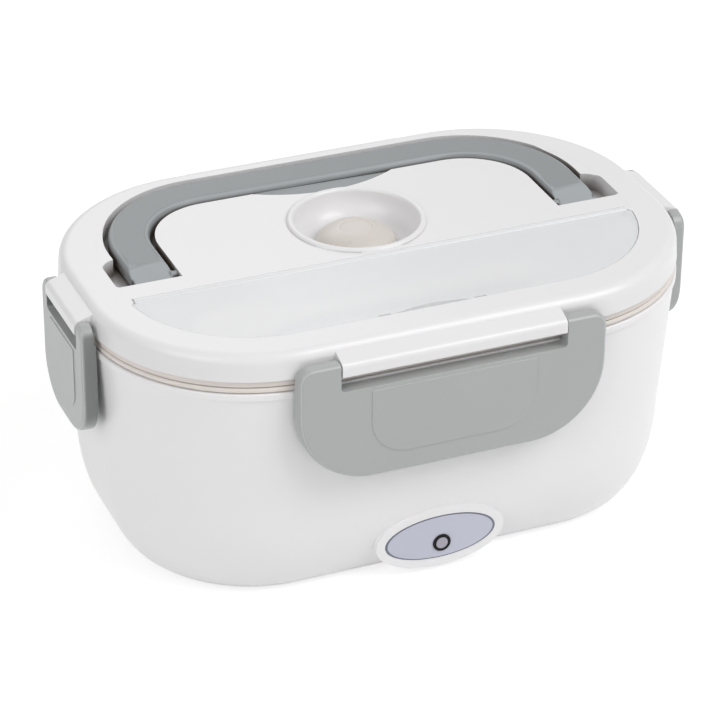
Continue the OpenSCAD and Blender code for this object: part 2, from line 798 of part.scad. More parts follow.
module vent_bowl(grow) {
    r1 = vent_r - ring_h;
    translate([0, vent_y, 0]) rotate_extrude() polygon(concat(
        [[0, bowl_z - grow]],
        bowl(bowl_r + grow, r1 + grow, bowl_z - grow, vent_depth + grow, 8),
        [[r1 + grow, panel_top + 4 * (1 - min(grow, 1))], [0, panel_top + 4 * (1 - min(grow, 1))]]));
}

module lid_shell() color("snow") {
    under = panel_top - top_t;
    rib_z = gasket_top + flange_t;
    difference() {
        union() {
            lid_ring() lid_profile();
            plate(-band_w - 2, under, panel_top);
            lid_ring() translate([-7.4, rib_z]) square([1.4, under - rib_z + eps]);
            translate([0, 0, groove_z - pan_t]) linear_extrude(under - groove_z + pan_t + eps)
                groove_plan(pan_t);
            translate([0, 0, cut_floor - pan_t]) linear_extrude(under - cut_floor + pan_t + eps)
                d_plan(cut_in - pan_t, hinge_y + 2 - pan_t, 2);
            translate([0, 0, lens_z - seat - pan_t]) linear_extrude(under - lens_z + seat + pan_t + eps)
                d_plan(cut_inset - seat - pan_t, hinge_y, 3);
            intersection() {
                translate([-bead_x - run, -hinge_y, bead_z]) rotate([0, 90, 0])
                    cylinder(r = bead_r + seat + pan_t, h = 2 * (bead_x + run));
                translate([-hx, -hinge_y - 10, 0]) cube([lid_l, 20, under + eps]);
            }
            vent_bowl(pan_t);
            translate([0, vent_y, panel_top]) rotate_extrude() translate([vent_r, 0]) circle(ring_h);
            for (s = [-1, 1]) {
                translate([s * (groove_in - hub_w / 2) - hub_w / 2, pivot_y - hub_w, groove_z - pan_t])
                    cube([hub_w, 2 * hub_w, under - groove_z + pan_t + eps]);
                translate([s * (bead_x + 3) - 2.4, -hinge_y - 3, under - 2]) cube([4.8, 6, 2 + eps]);
            }
            at_front() tab(tab_long);
            at_back() tab(tab_long);
            at_left() tab(tab_short);
            at_right() tab(tab_short);
        }
        translate([0, 0, groove_z]) linear_extrude(handle_t * 2) groove_plan(0);
        translate([0, 0, cut_floor]) linear_extrude(cut_depth * 2) d_plan(cut_in, hinge_y + 2, 3);
        translate([0, 0, lens_z - seat]) linear_extrude(lens_t * 3) d_plan(cut_inset - seat, hinge_y, 3);
        translate([-bead_x - run, -hinge_y, bead_z]) rotate([0, 90, 0])
            cylinder(r = bead_r + seat, h = 2 * (bead_x + run));
        vent_bowl(0);
        translate([0, vent_y, bowl_z - pan_t - 1]) cylinder(r = stem_r + 0.2, h = pan_t + 2);
        for (s = [-1, 1]) {
            translate([s * (groove_in + 1), pivot_y, pivot_z]) rotate([0, -s * 90, 0])
                cylinder(d = pivot_d + 2 * fit, h = pivot_l + 1.2);
            translate([s * bead_x, -hinge_y, bead_z]) rotate([0, s * 90, 0])
                cylinder(d = hinge_pin_d + 2 * fit, h = hinge_pin_l + 0.6);
        }
    }
    for (x = [-26, 23]) translate([x - 0.6, -hy + cut_in + 0.6, cut_floor - eps])
        cube([1.2, hy - cut_in - hinge_y - 3.2, spoon_lift + eps]);
}

module lid_inner_panel() color("white") {
    top = gasket_top + flange_t;
    steam_r = 9;
    difference() {
        union() {
            lid_ring() polygon([[-skirt_t - 0.6, gasket_top], [-skirt_t - 0.6, top], [inner_d - panel_t, top],
                [inner_d - panel_t, dish_z + panel_t], [inner_d - panel_t - 3, dish_z + panel_t],
                [inner_d - panel_t - 3, dish_z], [inner_d - 1, dish_z], [inner_d, dish_z + 1],
                [inner_d, gasket_top]]);
            plate(inner_d - panel_t - 1.4, dish_z, dish_z + panel_t);
        }
        for (a = [0:60:300]) translate([steam_r * cos(a), vent_y + steam_r * sin(a), dish_z - 1])
            cylinder(d = 3, h = panel_t + 2, $fn = 24);
    }
}

module lid_gasket() color("oldlace") {
    out = -skirt_t - 0.4;
    mid = gasket_z + gasket_h / 2;
    lid_ring() polygon(concat(
        arc(out - gasket_h / 2, mid, gasket_h / 2, -90, 90, 8),
        [[mouth_d + 1, gasket_top], [mouth_d + 0.4, mid], [mouth_d + 1, gasket_z],
        [-5.4, gasket_z], [-5.4, gasket_z + 0.8], [-4.4, gasket_z + 0.8], [-4.4, gasket_z]]));
}

module vent_plug() color("whitesmoke") {
    z = bowl_z + 0.2;
    top_r = plug_r - 4;
    translate([0, vent_y, 0]) rotate_extrude() polygon(concat(
        [[0, z - 3.8], [stem_r - 0.6, z - 3.8], [stem_r, z - 3.2], [stem_r, z]],
        [[plug_r, z], [plug_r, z + 1.2]],
        [[plug_r - 1, z + 1.2]],
        arc(top_r - 0.4, z + plug_h - 3.4, 3.4, 0, 80, 6),
        [[top_r - 2, z + plug_h], [5.2, z + plug_h], [4.4, z + plug_h - 1.2], [2.6, z + plug_h - 1.2]],
        arc(1.2, z + plug_h - 1, 1.2, 10, 90, 4),
        [[0, z + plug_h + 0.2]]));
}

module cutlery_cover() color([0.92, 0.93, 0.94, 0.6]) {
    finger_w = 14.5;
    finger_d = 2.4;
    nick_w = 4.4;
    nick_x = 18;
    difference() {
        union() {
            translate([0, 0, lens_z]) linear_extrude(lens_t) d_plan(cut_inset, hinge_y, 3);
            translate([-bead_x, -hinge_y, bead_z]) rotate([0, 90, 0]) cylinder(r = bead_r, h = 2 * bead_x);
        }
        translate([0, 0, lens_z - 1]) linear_extrude(lens_t + 3) mirror([0, 1])
            scallop(hy - cut_inset, finger_w, finger_d, 0);
        for (s = [-1, 1]) translate([s * nick_x - nick_w / 2, cut_inset - hy - 1, lens_z - 1])
            cube([nick_w, 1.9, lens_t + 2]);
        for (s = [-1, 1]) translate([s * (bead_x + 2.5) - 2.5, -hinge_y - bead_r - 0.2, lens_z - 1])
            cube([5, 6, 4]);
    }
    for (s = [-1, 1]) translate([s * (bead_x - 1), -hinge_y, bead_z]) rotate([0, s * 90, 0])
        cylinder(d = hinge_pin_d, h = hinge_pin_l + 1);
}

spoon_z = cut_floor + seat;
spoon_y = -33;
bowl_x = -62;

module spoon() color("ivory") {
    difference() {
        translate([bowl_x, spoon_y, spoon_z + 5.2]) scale([1.45, 1, 0.44]) sphere(r = 12, $fn = 40);
        translate([bowl_x, spoon_y, spoon_z + 5.9]) scale([1.45, 1, 0.44]) sphere(r = 11.2, $fn = 40);
        translate([bowl_x - 20, spoon_y - 15, spoon_z + 5.2]) cube([40, 30, 8]);
    }
    translate([bowl_x + 15.5, spoon_y, spoon_z + spoon_lift]) linear_extrude(2)
        polygon([[0, -3], [24, -3.4], [92, -6], [96, -4], [96, 4], [92, 6], [24, 3.4], [0, 3]]);
}

module bar_profile() {
    r = 2.4;
    translate([-handle_w / 2, handle_z + handle_t / 2]) {
        square([handle_w - 2 * r, handle_t], center = true);
        square([handle_w, handle_t - 2 * r], center = true);
        for (x = [-1, 1], y = [-1, 1]) translate([x * (handle_w / 2 - r), y * (handle_t / 2 - r)]) circle(r);
    }
}

// Side of the finger bulge, sloping down from the bar to its thin edge
module grip_profile() {
    back = handle_y - handle_w + 3;
    edge = handle_y - handle_w - grip_d - 1;
    low = handle_z + 0.4;
    high = handle_top - 1.3;
    slope = 0.39;
    polygon([[back, low], [back, high], [edge, high - slope * (back - edge)], [edge, low]]);
}

module handle() color("#96a0a0") {
    bend_y = handle_y - handle_r;
    bend_x = handle_hx - handle_r;
    slope = 19;
    difference() {
        union() {
            corner(bend_x, bend_y, 0, handle_r) bar_profile();
            corner(-bend_x, bend_y, 90, handle_r) bar_profile();
            translate([-bend_x, handle_y, 0]) rotate([90, 0, 90]) linear_extrude(2 * bend_x) bar_profile();
            translate([handle_hx, bend_y, 0]) rotate([90, 0, 0])
                linear_extrude(bend_y - pivot_y) bar_profile();
            translate([-handle_hx, pivot_y, 0]) rotate([90, 0, 180])
                linear_extrude(bend_y - pivot_y) bar_profile();
            for (s = [-1, 1]) translate([s * (handle_hx - handle_w / 2), pivot_y, pivot_z]) rotate([0, 90, 0])
                cylinder(d = handle_t, h = handle_w - 1.2, center = true);
            intersection() {
                translate([0, 0, handle_z]) linear_extrude(handle_t)
                    scallop(handle_y - handle_w, grip_hx, grip_d, 0);
                translate([-2 * grip_hx, 0, 0]) rotate([90, 0, 90])
                    linear_extrude(4 * grip_hx) grip_profile();
            }
        }
        for (s = [-1, 1]) translate([s * (handle_hx - handle_w / 2) - handle_w, pivot_y + 6.5, handle_top])
            rotate([slope, 0, 0]) translate([0, -20, 0]) cube([2 * handle_w, 20, 8]);
    }
    for (s = [-1, 1]) translate([s * (handle_hx - handle_w + 1), pivot_y, pivot_z]) rotate([0, -s * 90, 0])
        cylinder(d = pivot_d, h = 1 + handle_gap + pivot_l);
}

// ---- Latches ----

notch_z = skirt_z - 5;
latch_low = base_h - latch_drop;
latch_top = skirt_z + pin_up + 2.2;
latch_wall = 2;
latch_face = latch_out - 0.2;
ear_back = 1.2;
top_r = 5.2;
notch_r = 1.5;
latch_back_d = rim_proud + run - base_inset;

// Outline of a latch face without its notch, set in by g
module latch_blank(w, r, g) {
    polygon(concat(
        arc(w - r, latch_low + r, r - g, -90, 0, 14),
        arc(w - top_r, latch_top - top_r, top_r - g, 0, 90, 6),
        arc(top_r - w, latch_top - top_r, top_r - g, 90, 180, 6),
        arc(r - w, latch_low + r, r - g, 180, 270, 14)));
}

module latch_notch(tab, g) {
    x = tab + run + g;
    r = notch_r + g;
    low = notch_z - g;
    translate([-x, low + r]) square([2 * x, latch_top + g + 1 - low - r]);
    translate([r - x, low]) square([2 * (x - r), r + eps]);
    for (s = [-1, 1]) translate([s * (x - r), low + r]) circle(r);
}

module latch_plan(w, tab, r, g) {
    difference() {
        latch_blank(w, r, g);
        latch_notch(tab, g);
    }
}

panel_rise = 0.3;
panel_gap = 1.6;
panel_h = 26.2;

// Raised field on a latch face, square above and rounded below
module latch_panel(w, r) {
    top = notch_z - panel_gap;
    low = top - panel_h;
    polygon(concat(
        [[w, top], [-w, top]],
        arc(r - w, low + r, r, 180, 270, 10),
        arc(w - r, low + r, r, -90, 0, 10)));
}

// Moves a plan drawn in x and z to distance d out from the lid edge, l thick outwards
module outward(d, l) {
    translate([0, -d, 0]) rotate([90, 0, 0]) linear_extrude(l) children();
}

module latch(tab, ear, r) color("#a9adaa") {
    w = tab + run + ear;
    panel_w = tab > 30 ? tab - 11 : tab - 3;
    panel_r = tab > 30 ? 14 : 9;
    soft = 1.6;
    difference() {
        union() {
            outward(latch_back_d, latch_face - soft - latch_back_d) latch_blank(w, r, 0);
            hull() {
                outward(latch_face - soft - eps, eps) latch_blank(w, r, 0);
                outward(latch_face - 0.6, eps) latch_blank(w, r, 0.4);
                outward(latch_face - eps, eps) latch_blank(w, r, 1.4);
            }
        }
        outward(latch_back_d - 1, latch_face + 3) latch_notch(tab, 0);
        outward(latch_back_d - 1, latch_face - latch_t - latch_back_d + 1) latch_plan(w, tab, r, latch_wall);
        translate([-w - 1, -ear_back, skirt_z - 1]) cube([2 * w + 2, ear_back + 2, 12]);
    }
    outward(latch_face - eps, panel_rise + eps) latch_panel(panel_w, panel_r);
    for (s = [-1, 1]) translate([s * (tab + run + 1), -pin_out, skirt_z + pin_up]) rotate([0, -s * 90, 0])
        cylinder(d = pin_d, h = run + 5);
    hook_z = catch_top - catch_h - seat;
    translate([-(tab - 6), -latch_face + latch_t - eps, hook_z - 2.8]) cube([2 * (tab - 6), 3.4, 2.8]);
}

module latch_front() { at_front() latch(tab_long, ear_long, foot_r_long); }
module latch_back() { at_back() latch(tab_long, ear_long, foot_r_long); }
module latch_left() { at_left() latch(tab_short, ear_short, foot_r_short); }
module latch_right() { at_right() latch(tab_short, ear_short, foot_r_short); }

outer_shell();
inner_well();
heating_plate();
ptc_heater();
heater_clamp();
clamp_nuts();
thermostat();
thermal_fuse();
wiring();
power_inlet();
inlet_pins();
bottom_cover();
cover_screws();
feet();
badge_plate();
led_bezel();
led_lens();
led_lamp();
led_board();
main_tray();
side_tray();
lid_shell();
lid_inner_panel();
lid_gasket();
vent_plug();
cutlery_cover();
spoon();
handle();
latch_front();
latch_back();
latch_left();
latch_right();
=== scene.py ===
# %% [markdown]
# # Electric lunch box
# The real object is a box of moulded plastic pieces. Its shells, latches and handle come from the
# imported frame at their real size, so this lesson is about finish: rounding the moulded edges,
# adding the small trim, and making plastics that catch the light as the real ones do.

# %% Load the frame
import json
import math

import bpy
from mathutils import Matrix, Vector

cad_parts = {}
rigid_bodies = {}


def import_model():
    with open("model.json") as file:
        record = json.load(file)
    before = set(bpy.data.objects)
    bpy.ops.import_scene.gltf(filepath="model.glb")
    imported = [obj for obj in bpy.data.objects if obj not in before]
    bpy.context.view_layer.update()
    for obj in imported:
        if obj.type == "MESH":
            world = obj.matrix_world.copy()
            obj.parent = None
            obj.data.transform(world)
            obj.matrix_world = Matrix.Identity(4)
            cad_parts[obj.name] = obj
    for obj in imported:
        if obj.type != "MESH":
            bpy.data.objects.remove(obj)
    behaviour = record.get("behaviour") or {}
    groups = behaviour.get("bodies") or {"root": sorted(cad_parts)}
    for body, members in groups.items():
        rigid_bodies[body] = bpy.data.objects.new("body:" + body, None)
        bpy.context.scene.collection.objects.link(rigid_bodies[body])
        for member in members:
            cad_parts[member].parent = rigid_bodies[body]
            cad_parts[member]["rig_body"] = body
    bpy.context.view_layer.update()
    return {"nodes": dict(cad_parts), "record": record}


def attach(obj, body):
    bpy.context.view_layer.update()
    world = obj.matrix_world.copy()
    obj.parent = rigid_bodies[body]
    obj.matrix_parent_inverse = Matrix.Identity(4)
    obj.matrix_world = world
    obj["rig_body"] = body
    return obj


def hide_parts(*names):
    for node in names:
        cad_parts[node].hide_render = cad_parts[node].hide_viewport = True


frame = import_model()
MM = 0.001
scene = bpy.context.scene
scene.view_settings.view_transform = "Standard"

# %% [markdown]
# The camera comes first, because every judgement about looks is made through it. A long lens
# keeps the box nearly parallel, as a catalogue picture does. A camera can be aimed by an Euler
# angle or by a tracking constraint. Three plain turns are used here: round the table, down to the
# table, and a slight roll of the tripod.

# %% Camera
CAMERA_PLACE = (-0.39794, -0.94469, 0.63962)
CAMERA_ROUND = math.radians(22.671)
CAMERA_DOWN = math.radians(29.882)
CAMERA_ROLL = math.radians(0.423)
CAMERA_LENS = 160.73
SENSOR_WIDTH = 36
FARTHEST_SEEN = 20

camera_data = bpy.data.cameras.new("camera")
camera_data.lens = CAMERA_LENS
camera_data.sensor_width = SENSOR_WIDTH
camera_data.clip_end = FARTHEST_SEEN
camera = bpy.data.objects.new("camera", camera_data)
scene.collection.objects.link(camera)
camera.matrix_world = (
    Matrix.Translation(CAMERA_PLACE)
    @ Matrix.Rotation(-CAMERA_ROUND, 4, "Z")
    @ Matrix.Rotation(math.pi / 2 - CAMERA_DOWN, 4, "X")
    @ Matrix.Rotation(CAMERA_ROLL, 4, "Z")
)
scene.camera = camera
print("camera", tuple(round(v, 3) for v in camera.location))

# %% [markdown]
# White plastic shows its form only through soft light. A large lamp from the right and front
# gives the gentle shadow beside the latches, and two weaker ones open the left side and the back.
# Small hard lamps would leave black edges, so each lamp is nearly as large as a table.

# %% Lamps
LAMP_SIZE = 1.1
LAMP_AIM = Vector((0, 0, 0.05))


def soft_lamp(name, place, power):
    """A square lamp of so many watts that faces the middle of the box."""
    data = bpy.data.lights.new(name, "AREA")
    data.size = LAMP_SIZE
    data.energy = power
    lamp = bpy.data.objects.new(name, data)
    scene.collection.objects.link(lamp)
    lamp.location = place
    aim = LAMP_AIM - Vector(place)
    lamp.rotation_euler = aim.to_track_quat("-Z", "Y").to_euler()


soft_lamp("key_lamp", (0.9, -0.9, 1.5), 18)
soft_lamp("fill_lamp", (-1.3, -0.7, 0.9), 7)
soft_lamp("back_lamp", (0.1, 1.4, 1.2), 4)

# %% [markdown]
# A bright dome fills every side. The background has to look white, but a dome as bright as that
# would wash the box out. The Light Path node tells the rays apart: what the eye sees, directly,
# in a gloss or through the cover, is white, and what lights the box is dimmer.

# %% World
WORLD_FILL = 0.55
WHITE = 1.0


def white_to_the_eye(tree, lit, plain, out_socket):
    """Shows plain to camera, glossy and transmission rays, and lit to all others."""
    nodes, links = tree.nodes, tree.links
    path = nodes.new("ShaderNodeLightPath")
    seeing = path.outputs["Is Camera Ray"]
    for kind in ("Is Glossy Ray", "Is Transmission Ray"):
        either = nodes.new("ShaderNodeMath")
        either.operation = "MAXIMUM"
        links.new(seeing, either.inputs[0])
        links.new(path.outputs[kind], either.inputs[1])
        seeing = either.outputs[0]
    mix = nodes.new("ShaderNodeMixShader")
    links.new(seeing, mix.inputs["Fac"])
    links.new(lit, mix.inputs[1])
    links.new(plain, mix.inputs[2])
    links.new(mix.outputs[0], out_socket)


world = bpy.data.worlds.new("studio")
scene.world = world
world.use_nodes = True
nodes = world.node_tree.nodes
nodes.clear()
dome = nodes.new("ShaderNodeBackground")
dome.inputs["Strength"].default_value = WORLD_FILL
sky = nodes.new("ShaderNodeBackground")
sky.inputs["Strength"].default_value = WHITE
world_out = nodes.new("ShaderNodeOutputWorld")
white_to_the_eye(world.node_tree, dome.outputs[0], sky.outputs[0], world_out.inputs["Surface"])
print("world fill", WORLD_FILL)

# %% [markdown]
# The floor is a plain pale sheet. It has to look white and still hold the soft shadow under the
# box. A white diffuse surface alone renders light grey and holds a heavy shadow. So the eye sees
# a darker sheet with a glow on it, which keeps the shadow faint. The glow lights nothing, because
# the rays that carry light between matt surfaces meet the plain sheet.

# %% Floor
FLOOR_SIZE = 12
FLOOR_TONE = (0.88, 0.88, 0.88, 1)
EYE_TONE = (0.42, 0.42, 0.42, 1)
EYE_GLOW = 0.72

bpy.ops.mesh.primitive_plane_add(size=FLOOR_SIZE, location=(0, 0, 0))
floor = bpy.context.object
floor.name = "floor"
sheet = bpy.data.materials.new("floor_sheet")
sheet.use_nodes = True
nodes, links = sheet.node_tree.nodes, sheet.node_tree.links
nodes.clear()
matt = nodes.new("ShaderNodeBsdfDiffuse")
matt.inputs["Color"].default_value = FLOOR_TONE
seen = nodes.new("ShaderNodeBsdfDiffuse")
seen.inputs["Color"].default_value = EYE_TONE
glow = nodes.new("ShaderNodeEmission")
glow.inputs["Strength"].default_value = EYE_GLOW
both = nodes.new("ShaderNodeAddShader")
links.new(seen.outputs[0], both.inputs[0])
links.new(glow.outputs[0], both.inputs[1])
floor_out = nodes.new("ShaderNodeOutputMaterial")
white_to_the_eye(sheet.node_tree, matt.outputs[0], both.outputs[0], floor_out.inputs["Surface"])
floor.data.materials.append(sheet)
print("floor", FLOOR_SIZE, "m square")

# %% [markdown]
# Moulded plastic is never perfectly even. The tool leaves a fine grain, the melt cools in broad
# faint clouds, and handling polishes some patches. Two more groups paint light and shade into the
# colour: a painted highlight along rounded edges and painted shade deep in grooves. Each effect
# could be wired into every material that has it. They are shader groups instead, built once and
# placed with their own values, and they read Object coordinates, which are real metres.

# %% Tools for shader groups
def new_group(name, output, **inputs):
    """A shader group with number inputs and one number output; returns it and its input sockets."""
    group = bpy.data.node_groups.new(name, "ShaderNodeTree")
    for label, value in inputs.items():
        socket = group.interface.new_socket(
            label.replace("_", " "), in_out="INPUT", socket_type="NodeSocketFloat")
        socket.default_value = value
    group.interface.new_socket(output, in_out="OUTPUT", socket_type="NodeSocketFloat")
    return group, group.nodes.new("NodeGroupInput").outputs


def put_out(group, value):
    """Leads a socket to the group's output."""
    group.links.new(value, group.nodes.new("NodeGroupOutput").inputs[0])
    print("group", group.name, len(group.nodes), "nodes")


def maths(group, operation, first, second=0.0):
    """One Math node; first and second are numbers or sockets."""
    node = group.nodes.new("ShaderNodeMath")
    node.operation = operation
    for socket, value in zip(node.inputs, (first, second)):
        if isinstance(value, (int, float)):
            socket.default_value = value
        else:
            group.links.new(value, socket)
    return node.outputs[0]


def held(group, value):
    """A value held between 0 and 1."""
    return maths(group, "MINIMUM", maths(group, "MAXIMUM", value, 0), 1)


def coordinate(group, kind):
    """The X, Y and Z sockets of a texture coordinate."""
    parts = group.nodes.new("ShaderNodeSeparateXYZ")
    group.links.new(group.nodes.new("ShaderNodeTexCoord").outputs[kind], parts.inputs[0])
    return parts.outputs


# %% [markdown]
# Clouds, grain and polish are all noise. On the real pieces the clouds are centimetres across and
# the grain less than a millimetre, so the noise is scaled in real lengths, and only its size and
# the use of its value differ.

# %% Noise over a piece
NOISE_LOW = 0.3
NOISE_HIGH = 0.7


def noise_over(group, scale, detail):
    """Noise over the piece, whose scale is a socket."""
    noise = group.nodes.new("ShaderNodeTexNoise")
    noise.inputs["Detail"].default_value = detail
    place = group.nodes.new("ShaderNodeTexCoord").outputs["Object"]
    group.links.new(place, noise.inputs["Vector"])
    group.links.new(scale, noise.inputs["Scale"])
    return noise.outputs["Fac"]


def about_one(group, noise, spread):
    """A factor from 1 - spread to 1 + spread, as the noise goes from low to high."""
    node = group.nodes.new("ShaderNodeMapRange")
    node.inputs["From Min"].default_value = NOISE_LOW
    node.inputs["From Max"].default_value = NOISE_HIGH
    group.links.new(noise, node.inputs["Value"])
    group.links.new(maths(group, "SUBTRACT", 1, spread), node.inputs["To Min"])
    group.links.new(maths(group, "ADD", 1, spread), node.inputs["To Max"])
    return node.outputs["Result"]


# %% [markdown]
# The clouds change the colour by a percent or two, the grain tilts the surface and the polish
# changes the gloss. The slow wave under the grain is what makes long reflections tremble a
# little.

# %% Clouds, grain and polish
def cloud_group():
    """A factor near 1 that drifts slowly over the surface, for the base colour."""
    group, source = new_group("moulding_clouds", "Value", Size=18, Spread=0.02)
    put_out(group, about_one(group, noise_over(group, source["Size"], detail=3), source["Spread"]))
    return group


def grain_group():
    """The height of the fine grain of the mould, with a slow waviness under it."""
    group, source = new_group("mould_grain", "Height", Size=2600, Wave=60, Wave_Share=0.5)
    fine = noise_over(group, source["Size"], detail=2)
    wave = noise_over(group, source["Wave"], detail=1)
    put_out(group, maths(group, "ADD", maths(group, "MULTIPLY", wave, source["Wave Share"]), fine))
    return group


def polish_group():
    """A roughness that handling has polished in patches."""
    group, source = new_group("handling_polish", "Roughness", Roughness=0.35, Size=45, Spread=0.12)
    factor = about_one(group, noise_over(group, source["Size"], detail=5), source["Spread"])
    put_out(group, maths(group, "MULTIPLY", factor, source["Roughness"]))
    return group


CLOUDS = cloud_group()
GRAIN = grain_group()
POLISH = polish_group()

# %% [markdown]
# The grey pieces get a painted highlight along their rounded edges, where real ones catch the
# lamps. A Pointiness or Bevel node could find those edges, but only as well as the mesh is fine.
# The Normal coordinate does it evenly: on a broad face it lies straight along one axis, on a side
# it lies across, and on the rounding it is in between. The latches are measured by their outward
# axis and the handle, with Upright at 1, by the upward one. The front-facing side wall of the left
# latch gets painted shade.

# %% Painted edge highlight and side shade
SIDE_LATCH_X = 0.1   # the left and right latches lie further out than this
FRONT_FACING = 0.7   # faces count as front ones when they turn forward by more than this
FRONT_RAMP = 4       # and count fully a quarter further on


def painted_edge_light_group():
    """A colour factor: 1 on broad faces, more on a rounded edge as a painted highlight, less on the
    left latch's side wall as painted shade.
    """
    group, source = new_group("painted_edge_light", "Value", Gain=0.3, Turn=0.84, Reach=0.11, Upright=0,
                              Dull=0)
    facing = coordinate(group, "Normal")
    across = coordinate(group, "Object")["X"]
    x, y, z = (maths(group, "ABSOLUTE", facing[axis]) for axis in "XYZ")
    on_side = maths(group, "GREATER_THAN", maths(group, "ABSOLUTE", across), SIDE_LATCH_X)
    level = maths(group, "ADD", maths(group, "MULTIPLY", x, on_side),
                  maths(group, "MULTIPLY", y, maths(group, "SUBTRACT", 1, on_side)))
    lying = maths(group, "SUBTRACT", 1, source["Upright"])
    turn = maths(group, "ADD", maths(group, "MULTIPLY", z, source["Upright"]),
                 maths(group, "MULTIPLY", level, lying))
    off = maths(group, "ABSOLUTE", maths(group, "SUBTRACT", turn, source["Turn"]))
    far = maths(group, "DIVIDE", off, source["Reach"])
    near = maths(group, "MAXIMUM", maths(group, "SUBTRACT", 1, far), 0)
    pale = maths(group, "ADD", maths(group, "MULTIPLY", near, source["Gain"]), 1)
    at_left = maths(group, "LESS_THAN", across, -SIDE_LATCH_X)
    to_front = held(group, maths(group, "MULTIPLY",
                                 maths(group, "ADD", facing["Y"], FRONT_FACING), -FRONT_RAMP))
    loss = maths(group, "MULTIPLY", maths(group, "MULTIPLY", at_left, to_front), source["Dull"])
    put_out(group, maths(group, "SUBTRACT", pale, loss))
    return group


EDGE_LIGHT = painted_edge_light_group()

# %% [markdown]
# The groove that holds the handle gets painted shade, dark and a little brown at its bottom. The
# dark could be painted by height, but an Ambient Occlusion node finds every crevice, however it
# lies. It works only in the groove, and fades out towards the back.

# %% Painted shade in the groove
GROOVE_SHADE_SAMPLES = 8
GROOVE_SHADE_FADE = 0.03


def groove_shade_group():
    """A painted-shade mask: 1 on open faces, falling to 0 deep in the handle groove."""
    group, source = new_group("groove_painted_shade", "Open", Reach=0.008, Start=0.7, Full=0.15,
                              Front=-0.012, Side=0.105, Back=1)
    spot = coordinate(group, "Object")
    behind = maths(group, "GREATER_THAN", spot["Y"], source["Front"])
    within = maths(group, "LESS_THAN", maths(group, "ABSOLUTE", spot["X"]), source["Side"])
    ahead = held(group, maths(group, "MULTIPLY",
                              maths(group, "SUBTRACT", source["Back"], spot["Y"]), 1 / GROOVE_SHADE_FADE))
    taken = maths(group, "MULTIPLY", maths(group, "MULTIPLY", behind, within), ahead)
    shelter = group.nodes.new("ShaderNodeAmbientOcclusion")
    shelter.samples = GROOVE_SHADE_SAMPLES
    group.links.new(source["Reach"], shelter.inputs["Distance"])
    spread = group.nodes.new("ShaderNodeMapRange")
    group.links.new(shelter.outputs["AO"], spread.inputs["Value"])
    group.links.new(source["Full"], spread.inputs["From Min"])
    group.links.new(source["Start"], spread.inputs["From Max"])
    put_out(group, maths(group, "MAXIMUM", spread.outputs["Result"],
                         maths(group, "SUBTRACT", 1, taken)))
    return group


GROOVE_SHADE = groove_shade_group()

# %% [markdown]
# The badge plate has a thin line printed just inside its edge. The line could be a raised ring,
# but real ones are ink, so it is a mask: the distance from the middle, measured in half widths,
# is the same all along an ellipse.

# %% Printed line
LINE_START = 0.955
LINE_FULL = 0.97


def border_group():
    """1 inside an upright ellipse, 0 on a thin line at its edge."""
    group, source = new_group("ellipse_border", "Inside", Half_Width=0.02, Half_Height=0.01,
                              Middle=0)
    spot = coordinate(group, "Object")
    across = maths(group, "DIVIDE", spot["X"], source["Half Width"])
    up = maths(group, "DIVIDE", maths(group, "SUBTRACT", spot["Z"], source["Middle"]),
               source["Half Height"])
    radius = maths(group, "SQRT", maths(group, "ADD", maths(group, "MULTIPLY", across, across),
                                        maths(group, "MULTIPLY", up, up)))
    edge = group.nodes.new("ShaderNodeMapRange")
    edge.inputs["From Min"].default_value = LINE_START
    edge.inputs["From Max"].default_value = LINE_FULL
    edge.inputs["To Min"].default_value = 1
    edge.inputs["To Max"].default_value = 0
    group.links.new(radius, edge.inputs["Value"])
    put_out(group, edge.outputs["Result"])
    return group


BORDER = border_group()

# %% [markdown]
# A material could be wired by hand each time. These few tools save that: one starts a material,
# one places a shader group in it, and one scales a colour. Colours are written as screen values
# from 0 to 255 and turned into the linear numbers that the shader wants.

# %% Tools for materials
MATERIALS = {}


def linear(*screen):
    """Screen colour, 0 to 255, as a linear colour with alpha."""
    parts = [v / 255 for v in screen]
    return tuple(p / 12.92 if p <= 0.04045 else ((p + 0.055) / 1.055) ** 2.4
                 for p in parts) + (1,)


def new_material(name):
    """A Principled material, its node tree and its shader."""
    material = bpy.data.materials.new(name)
    material.use_nodes = True
    tree = material.node_tree
    return material, tree, tree.nodes["Principled BSDF"]


def place_group(tree, group, **values):
    """Puts a group in a node tree, with its inputs set, and returns its output."""
    node = tree.nodes.new("ShaderNodeGroup")
    node.node_tree = group
    for label, value in values.items():
        node.inputs[label.replace("_", " ")].default_value = value
    return node.outputs[0]


def scaled_colour(tree, factor):
    """A node that multiplies a colour by a factor socket."""
    node = tree.nodes.new("ShaderNodeVectorMath")
    node.operation = "SCALE"
    tree.links.new(factor, node.inputs["Scale"])
    return node


# %% [markdown]
# Each plastic is one Principled material. A lid and a latch differ in colour, gloss and grain,
# and not in kind, so one function makes them all. Where a piece has no grain or is evenly
# polished, its bump is left out and its roughness is a plain number.

# %% Plastic
def plastic(slot, name, screen, roughness, grain=0.02, spread=0.02, polish=0.12):
    """The material of a slot; grain is its height in millimetres. Returns its shader."""
    material, tree, shader = new_material(name)
    tint = scaled_colour(tree, place_group(tree, CLOUDS, Spread=spread))
    tint.inputs[0].default_value = linear(*screen)[:3]
    tree.links.new(tint.outputs[0], shader.inputs["Base Color"])
    shader.inputs["Roughness"].default_value = roughness
    if polish:
        rough = place_group(tree, POLISH, Roughness=roughness, Spread=polish)
        tree.links.new(rough, shader.inputs["Roughness"])
    if grain:
        bump = tree.nodes.new("ShaderNodeBump")
        bump.inputs["Strength"].default_value = 1
        bump.inputs["Distance"].default_value = grain * MM
        tree.links.new(place_group(tree, GRAIN), bump.inputs["Height"])
        tree.links.new(bump.outputs["Normal"], shader.inputs["Normal"])
    MATERIALS[slot] = material
    return shader


# %% [markdown]
# Some finishes change their colour where a mask says so. An effect is put between the colour so
# far and the shader, so that several can follow each other.

